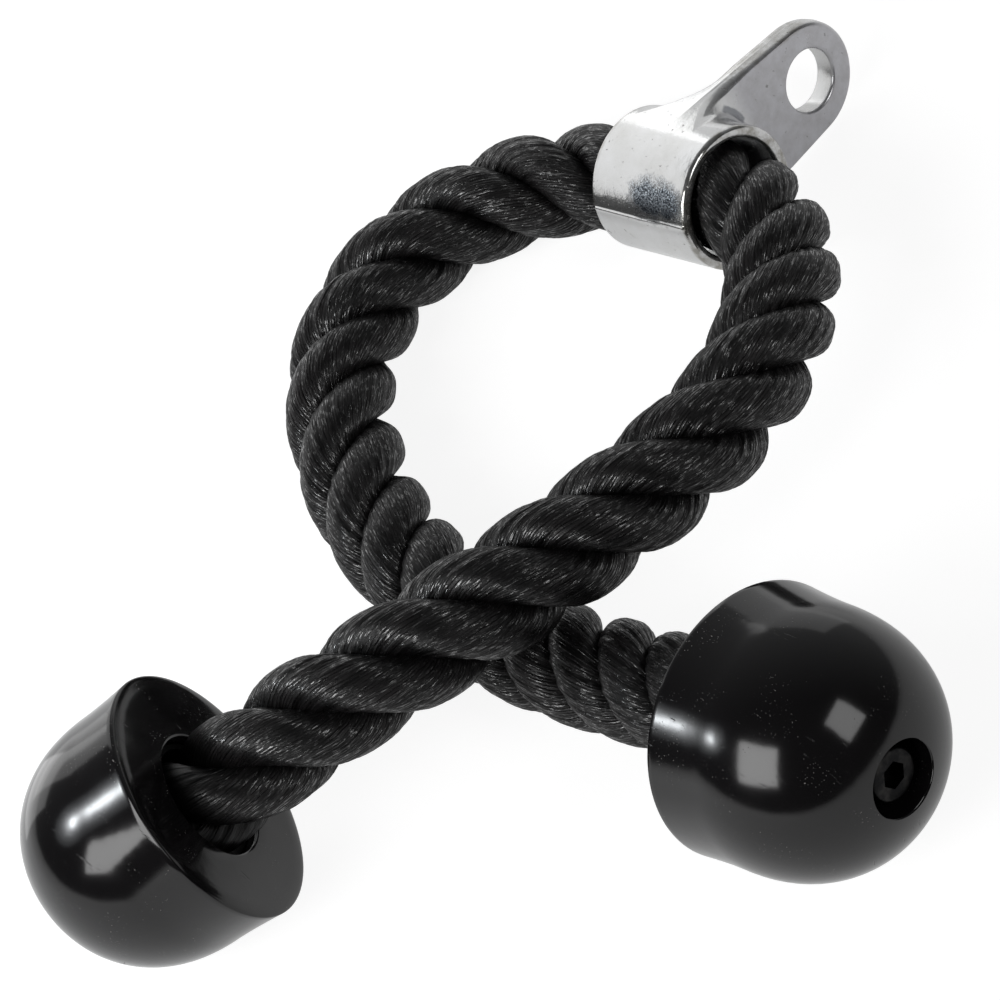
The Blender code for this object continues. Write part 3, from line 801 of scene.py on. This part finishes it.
def makeScrews():
    material = oxideMaterial()
    s = screwSize
    thread = []
    along = s["tip"] + s["threadFrom"]
    while along < s["seat"] - s["threadEnd"]:
        thread.append((along, s["radius"] - s["threadDepth"]))
        thread.append((along + s["pitch"] / 2, s["radius"] - s["crest"]))
        along += s["pitch"]
    outline = [(s["tip"], 0), (s["tip"], s["radius"] - s["tipBevel"])] + thread
    outline += [(along, s["radius"]), (s["seat"], s["radius"]), (s["seat"], s["head"] - s["headBevel"])]
    outline += [(s["seat"] + s["headBevel"], s["head"])]
    outline += arcPoints((s["top"] - s["edge"], s["head"] - s["edge"]), s["edge"], 90, 0, 5)
    outline += [(s["top"], s["head"] * 0.6), (s["top"], 0)]
    deep = s["socketDepth"]
    for side in capPlaces:
        screw = turnOutline(side + "_socket_screw", outline, s["turns"])
        bpy.ops.object.select_all(action="DESELECT")
        bpy.ops.mesh.primitive_cylinder_add(vertices=6, radius=s["flats"] / 2 / cos(pi / 6), depth=2 * deep,
                                            location=(s["top"], 0, 0), rotation=(0, pi / 2, 0))
        cutter = bpy.context.object
        cutWith(screw, cutter)
        settle(screw, capMatrix(side), 30)
        screw.data.materials.append(material)
        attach(screw, "rope_and_caps")
        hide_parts(side + "_cap_screw")
    for side in capPlaces:
        for part in ("flat_washer", "spring_washer"):
            paint(f"{side}_{part}", material)


def paint(node, material):
    # A CAD node keeps its shape and takes a finished material
    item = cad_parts[node]
    for place in item.material_slots:
        place.material = material


makeScrews()
print("screws set")

# Ferrules, which show only in the gap round the rope, coloured near black as painted shade in the bore

ferruleLook = {
    "cloud": (180, 3, 0.6), "grain": (1900, 2, 0.5),
    "dark": (0.006, 0.006, 0.0062), "pale": (0.012, 0.0118, 0.0115), "roughness": (0.55, 0.7),
}


def ferruleMaterial():
    # Painted shade: its near-black colour stands in for the shade deep in the bore
    material, tree, shader = newMaterial("steelPaintedShade")
    place = addNode(tree, "ShaderNodeTexCoord").outputs["Object"]
    cloud = addNoise(tree, place, *ferruleLook["cloud"])
    grain = addNoise(tree, place, *ferruleLook["grain"])
    tree.links.new(addMix(tree, cloud, ferruleLook["dark"], ferruleLook["pale"]), shader.inputs["Base Color"])
    tree.links.new(addRange(tree, grain, 0.3, 0.7, *ferruleLook["roughness"]), shader.inputs["Roughness"])
    tree.links.new(addBump(tree, grain, 0.00003, 0.6), shader.inputs["Normal"])
    shader.inputs["Metallic"].default_value = 1
    return material


steel = ferruleMaterial()
for side in capPlaces:
    paint(f"{side}_ferrule", steel)

# Carrier, a casting lofted section by section round its barrel


def tangOutline(angle):
    # Distance from the barrel's axis to the teardrop's edge
    s = carrierSize
    touch = acos((s["barrel"] - s["eye"]) / s["eyeOut"])
    edge = atan2(s["eye"] * sin(touch), s["eyeOut"] + s["eye"] * cos(touch))
    angle = abs(angle)
    if angle >= touch:
        return s["barrel"]
    if angle >= edge:
        return s["barrel"] / cos(touch - angle)
    return s["eyeOut"] * cos(angle) + sqrt(s["eye"] ** 2 - (s["eyeOut"] * sin(angle)) ** 2)


def loftAngles():
    s = carrierSize
    touch = acos((s["barrel"] - s["eye"]) / s["eyeOut"])
    edge = atan2(s["eye"] * sin(touch), s["eyeOut"] + s["eye"] * cos(touch))
    sides = [(touch - edge) * step / s["sideSteps"] for step in range(s["sideSteps"])]
    angles = []
    for step in range(2 * s["eyeSteps"]):
        turn = touch * (step / s["eyeSteps"] - 1)
        angles.append(atan2(s["eye"] * sin(turn), s["eyeOut"] + s["eye"] * cos(turn)))
    angles += [edge + turn for turn in sides]
    seam = radians(s["seamAngle"])
    bare = [touch + 2 * (pi - touch) * step / s["bareSteps"] for step in range(s["bareSteps"])]
    bare = [angle for angle in bare if abs(angle - seam) > radians(s["seamRoom"])]
    close = [seam + radians(step * s["seamStep"]) for step in range(-s["seamSteps"], s["seamSteps"] + 1)]
    angles += sorted(bare + close)
    angles += [turn - touch for turn in sides]
    return angles


def flarePoint(turn, reach, height):
    # A point of the quarter ellipse that sweeps up from the barrel, and its slope there
    point = (carrierSize["tang"] / 2 + reach * (1 - sin(turn)), height * (1 - cos(turn)))
    return point, atan2(height * sin(turn), reach * cos(turn))


def tangSide(rise, reach, height):
    # One side of the tang: its flare up from the barrel, its flat and its rounded edge
    s = carrierSize
    edge = s["tangEdge"] + (s["lowEdge"] - s["tangEdge"]) * max(0, 1 - rise / s["lowReach"])
    last = pi / 2
    if rise < height + edge:
        # Near the barrel the rounded edge starts on the flare, at the same slope
        lowest, highest = 0, pi / 2
        for halving in range(24):       # closes in on the slope
            last = (lowest + highest) / 2
            (thick, low), slope = flarePoint(last, reach, height)
            if low + edge * (1 - cos(slope)) > rise:
                highest = last
            else:
                lowest = last
    turns = [last * step / s["flareSteps"] for step in range(s["flareSteps"] + 1)]
    points = [flarePoint(turn, reach, height)[0] for turn in turns]
    thick, low = points[-1]
    slope = flarePoint(last, reach, height)[1]
    top = max(low, rise - edge * (1 - cos(slope)))
    points += [(thick, low + (top - low) * (step + 1) / s["flatSteps"]) for step in range(s["flatSteps"])]
    center = (thick - edge * sin(slope), top - edge * cos(slope))
    return points + arcPoints(center, edge, 90 - slope * 180 / pi, 90, s["edgeSteps"])[1:]


def loftSection(angle):
    s = carrierSize
    half = s["length"] / 2
    rise = max(0, tangOutline(angle) - s["barrel"])
    inner, outer = s["innerRim"], s["outerRim"]
    rim = arcPoints((half - inner, s["bore"] + inner), inner, -90, 0, s["rimSteps"])
    rim += arcPoints((half - outer, s["barrel"] - outer), outer, 0, 90, s["edgeSteps"])
    back = tangSide(rise, s["backReach"], s["backHeight"])
    front = tangSide(rise, s["frontFillet"], s["frontFillet"])
    # A low ridge runs round the tang's edge, where the halves of the mould met
    ridge = s["midRidge"] * min(1, rise / s["midRidgeFrom"])
    middle = [(along, rise + ridge * cos(along / s["midRidgeWidth"] * pi)) for along in s["midRidgePlaces"]]
    outline = back + middle + front[::-1]
    section = [(0, s["bore"])]
    section += [(-along, out) for along, out in rim]
    section += [(-along if index < len(back) else along, s["barrel"] + out)
                for index, (along, out) in enumerate(outline)]
    section += rim[::-1]
    outside = s["barrel"] - 0.0001
    return [(along, out + seamHeight(along, angle) if out > outside else out) for along, out in section]


def addedWaves(along, waves):
    return sum(size * sin(along / length + start) for size, length, start in waves)


def seamHeight(along, angle):
    # The uneven line that the casting's mould left down one side of the barrel
    s = carrierSize
    wander = radians(addedWaves(along, s["seamWander"]))
    turn = (angle - radians(s["seamAngle"]) - wander + pi) % (2 * pi) - pi
    distance = abs(turn) * s["barrel"] / s["seamWidth"]
    uneven = s["seamMean"] + addedWaves(along, s["seamUneven"])
    return s["seamRise"] * uneven / (1 + distance ** 4)


def makeCarrier():
    vertices, faces = [], []
    rings = [loftSection(angle) for angle in loftAngles()]
    count = len(rings[0])
    for angle, ring in zip(loftAngles(), rings):
        vertices += [(along, out * cos(angle), out * sin(angle)) for along, out in ring]
    for row in range(len(rings)):
        following = (row + 1) % len(rings)
        for index in range(count):
            after = (index + 1) % count
            faces.append((row * count + index, row * count + after, following * count + after,
                          following * count + index))
    bm = bmesh.new()
    made = [bm.verts.new(vertex) for vertex in vertices]
    for face in faces:
        bm.faces.new([made[index] for index in face])
    bmesh.ops.remove_doubles(bm, verts=bm.verts, dist=mergeDistance)
    bmesh.ops.dissolve_degenerate(bm, edges=bm.edges, dist=mergeDistance)
    bmesh.ops.recalc_face_normals(bm, faces=bm.faces)
    mesh = bpy.data.meshes.new("cast_carrier")
    bm.to_mesh(mesh)
    bm.free()
    carrier = bpy.data.objects.new("cast_carrier", mesh)
    bpy.context.scene.collection.objects.link(carrier)
    s = carrierSize
    half, hole, edge = s["tang"] / 2, s["eyeHole"], s["eyeRound"]
    past = half + s["cutOverrun"]
    outline = [(-past, 0), (-past, hole + edge)]
    lip = [(half - edge + edge * sin(turn), hole + edge - edge * cos(turn))
           for turn in (radians(15 * step) for step in range(7))]
    outline += [(-along, out) for along, out in lip[::-1]] + lip
    outline += [(past, hole + edge), (past, 0)]
    cutter = turnOutline("eye_cutter", outline, 96)
    cutter.location = (0, s["eyeOut"], 0)
    cutWith(carrier, cutter)
    settle(carrier, carrierMatrix(), 32)
    carrier.data.materials.append(platedMaterial())
    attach(carrier, "carrier")
    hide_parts("carrier")


# Its plating, with places along the barrel, along the tang and up, from the barrel's middle

plateLook = {
    # Noises: waves in a metre, detail and roughness
    "cloud": (75, 4, 0.6), "peel": (330, 3, 0.55), "grain": (2300, 2, 0.6), "mottle": (210, 4, 0.7),
    "pits": (760, 2, 0.5),
    "clean": ((0.7, 0.705, 0.71), (0.61, 0.61, 0.6)),
    # Painted shade: the tang's front face takes this darker grey
    "tang": ((0.52, 0.52, 0.545), (0.44, 0.435, 0.45)),
    "tangFrom": (0.017, 0.025), "frontFrom": (0.002, 0.0033),
    # The patch: a near-black ground as painted dark reflection, with pale rubbed specks
    "patch": ((0.028, 0.034, 0.043), (0.5, 0.55, 0.6)),
    "patchPlaces": ((0.0025, -0.0164, 0.0098), (0.0068, -0.0164, 0.0098), (0.011, -0.0164, 0.0098)),
    "patchEdge": (0.0034, 0.0068), "patchUneven": 0.0016, "patchShade": (0.0055, 0.0115),
    "pit": (0.24, 0.235, 0.225), "pitShare": 0.6,
    "grime": (0.25, 0.235, 0.2), "rimFrom": (0.0162, 0.0174),
    "lineHigh": (0.0172, 0.0148), "lineAlong": (0.022, 0.052), "lineFrom": (0.018, 0.023),
    "lineWidth": (0.0002, 0.0011),
    # Painted reflection: a dark blue-grey mark in one corner of the fillet
    "paintedReflection": (0.17, 0.18, 0.2), "paintedReflectionOut": 0.0217, "paintedReflectionUneven": 0.0004, "paintedReflectionWidth": (0.0008, 0.0013),
    "paintedReflectionLow": (0.0062, 0.0068), "paintedReflectionHigh": (0.0137, 0.0145),
    "roughness": (0.1, 0.18), "patchRoughness": 0.1, "tangRoughness": 0.06, "pitRoughness": 0.2,
    "castFrom": (0.01, 0.018), "castRoughness": 0.1,
    "peelHeight": 0.00016, "peelStrength": 0.35, "grainHeight": 0.00009, "pitDepth": 0.00003,
    "metallic": 0.93,
}


def patchMask(tree, place, matrix, mottle):
    # One inside the patch on the barrel, whose near-black ground is a painted dark reflection and whose pale
    # specks are rubbed grain
    look = plateLook
    far = 1
    for point in look["patchPlaces"]:
        far = addMath(tree, "MINIMUM", addNear(tree, place, matrix @ Vector(point)), far)
    uneven = addRange(tree, mottle, 0.3, 0.7, -look["patchUneven"], look["patchUneven"])
    return addRange(tree, addSum(tree, far, uneven), *look["patchEdge"], 1, 0)


def grimeAndEdgeLineMask(tree, across, reach, high, mottle):
    # Grime in the mouths' rims, and a darker line along the tang's upper edge
    look = plateLook
    side = addMath(tree, "ABSOLUTE", across, 0)
    gathered = addRange(tree, mottle, 0.4, 0.6, 0, 0.75)
    rim = addTimes(tree, addRange(tree, side, *look["rimFrom"], 0, 1), gathered)
    edge = addRange(tree, reach, *look["lineAlong"], *look["lineHigh"])
    line = addMath(tree, "ABSOLUTE", addMath(tree, "SUBTRACT", high, edge), 0)
    line = addRange(tree, line, *look["lineWidth"], 1, 0)
    line = addTimes(tree, line, addRange(tree, mottle, 0.4, 0.6, 0.05, 0.6))
    line = addTimes(tree, line, addRange(tree, reach, *look["lineFrom"], 0, 1))
    return addMath(tree, "MAXIMUM", rim, line)


def paintedReflectionMask(tree, reach, high, front, mottle):
    # A painted dark reflection in one corner of the tang's fillet, where it curves round the barrel
    look = plateLook
    squares = addSum(tree, addTimes(tree, high, high), addTimes(tree, reach, reach))
    out = addMath(tree, "SUBTRACT", addMath(tree, "SQRT", squares, 0), look["paintedReflectionOut"])
    uneven = addRange(tree, mottle, 0.3, 0.7, -look["paintedReflectionUneven"], look["paintedReflectionUneven"])
    paintedReflection = addMath(tree, "ABSOLUTE", addSum(tree, out, uneven), 0)
    low = addRange(tree, high, *look["paintedReflectionLow"], 0, 1)
    paintedReflection = addTimes(tree, addRange(tree, paintedReflection, *look["paintedReflectionWidth"], 0.8, 0), low)
    return addTimes(tree, paintedReflection, addTimes(tree, addRange(tree, high, *look["paintedReflectionHigh"], 1, 0), front))


def platedMaterial():
    look = plateLook
    material, tree, shader = newMaterial("brightZincPlate")
    place = addNode(tree, "ShaderNodeTexCoord").outputs["Object"]
    cloud = addNoise(tree, place, *look["cloud"])
    peel = addNoise(tree, place, *look["peel"])
    grain = addNoise(tree, place, *look["grain"])
    mottle = addNoise(tree, place, *look["mottle"])
    pits = addRange(tree, addNoise(tree, place, *look["pits"]), 0.69, 0.74, 0, 1)
    matrix = carrierMatrix()
    across, reach, high = [addAlong(tree, place, matrix, axis) for axis in range(3)]
    front = addRange(tree, across, *look["frontFrom"], 0, 1)
    tang = addTimes(tree, addRange(tree, reach, *look["tangFrom"], 0, 1), front)
    patch = patchMask(tree, place, matrix, mottle)
    # Painted shade: the patch darkens towards the mould line
    shade = addRange(tree, high, *look["patchShade"], 0.1, 1)
    specks = addTimes(tree, addRange(tree, grain, 0.44, 0.6, 0, 1), shade)
    color = addMix(tree, addRange(tree, cloud, 0.35, 0.7, 0, 1), *look["clean"])
    # Painted shade: the tang's front face takes a darker mottled grey for the darker reflection it shows; its
    # duller finish is in the roughness
    faceShadeGrey = addMix(tree, addRange(tree, mottle, 0.35, 0.65, 0, 1), *look["tang"])
    color = addMix(tree, tang, color, faceShadeGrey)
    color = addMix(tree, grimeAndEdgeLineMask(tree, across, reach, high, mottle), color, look["grime"])
    # Painted reflection: the dark mark in the fillet's corner
    color = addMix(tree, paintedReflectionMask(tree, reach, high, front, mottle), color, look["paintedReflection"])
    color = addMix(tree, patch, color, addMix(tree, specks, *look["patch"]))
    color = addMix(tree, addTimes(tree, pits, look["pitShare"]), color, look["pit"])
    tree.links.new(color, shader.inputs["Base Color"])
    rough = addRange(tree, cloud, 0.3, 0.7, *look["roughness"])
    rough = addSum(tree, rough, addTimes(tree, patch, look["patchRoughness"]))
    rough = addSum(tree, rough, addTimes(tree, tang, look["tangRoughness"]))
    rough = addSum(tree, rough, addRange(tree, reach, *look["castFrom"], 0, look["castRoughness"]))
    rough = addSum(tree, rough, addTimes(tree, pits, look["pitRoughness"]))
    tree.links.new(rough, shader.inputs["Roughness"])
    normal = addBump(tree, peel, look["peelHeight"], look["peelStrength"])
    rubbed = addTimes(tree, grain, addSum(tree, patch, 0.2))
    normal = addBump(tree, rubbed, look["grainHeight"], 0.8, normal)
    normal = addBump(tree, pits, -look["pitDepth"], 0.8, normal)
    tree.links.new(normal, shader.inputs["Normal"])
    shader.inputs["Metallic"].default_value = look["metallic"]
    return material


makeCarrier()
print("carrier cast")
